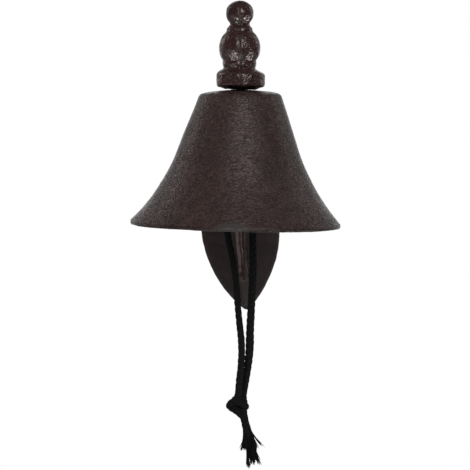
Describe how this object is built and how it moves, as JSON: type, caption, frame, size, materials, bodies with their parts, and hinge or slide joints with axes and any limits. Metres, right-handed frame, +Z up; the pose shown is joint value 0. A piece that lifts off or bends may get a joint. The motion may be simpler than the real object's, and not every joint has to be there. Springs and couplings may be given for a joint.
{
  "type": "wall-mounted dinner bell",
  "caption": "Flared cast iron bell hung under a wall bracket with a turned finial, rung by a clapper on a knotted pull cord.",
  "frame": {"origin": "centre of the wall plate's back face, on the wall", "axes": "+Y into the wall, +Z up, +X to the right for someone facing the bell"},
  "size_m": [0.1308, 0.1504, 0.2924],
  "materials": {
    "bell_iron": "rough sand-cast, dark brown",
    "bracket_iron": "dark red-brown, painted and polished by wear",
    "clapper_iron": "rough, dark",
    "steel": "dull zinc, aged",
    "cord": "black laid cord"
  },
  "bodies": {
    "bracket": {"wall_bracket": "bracket_iron", "eye_bolt": "steel", "top_washer": "steel", "bottom_washer": "steel", "bell_nut": "steel"},
    "bell": {"bell": "bell_iron"},
    "link": {"clapper_link": "steel"},
    "clapper": {"clapper": "clapper_iron"},
    "cord": {"pull_cord": "cord", "cord_knot": "cord", "cord_tail": "cord"}
  },
  "joints": [
    {"name": "bell_turn", "type": "hinge", "parent": "bracket", "child": "bell", "pos_m": [0, -0.085, 0.0906], "axis": [0.0288, 0, 0.9996], "continuous": true},
    {"name": "link_sway", "type": "hinge", "parent": "bracket", "child": "link", "pos_m": [-0.00067, -0.085, 0.06723], "axis": [0, 1, 0], "range_deg": [-12, 12]},
    {"name": "clapper_swing", "type": "hinge", "parent": "link", "child": "clapper", "pos_m": [-0.00067, -0.085, 0.06058], "axis": [1, 0, 0], "range_deg": [-41, 41]},
    {"name": "cord_swing", "type": "hinge", "parent": "clapper", "child": "cord", "pos_m": [-0.00067, -0.085, 0.00628], "axis": [1, 0, 0], "range_deg": [-41, 41]}
  ],
  "couplings": [
    {"joint": "cord_swing", "follows": "clapper_swing", "ratio": -1}
  ]
}
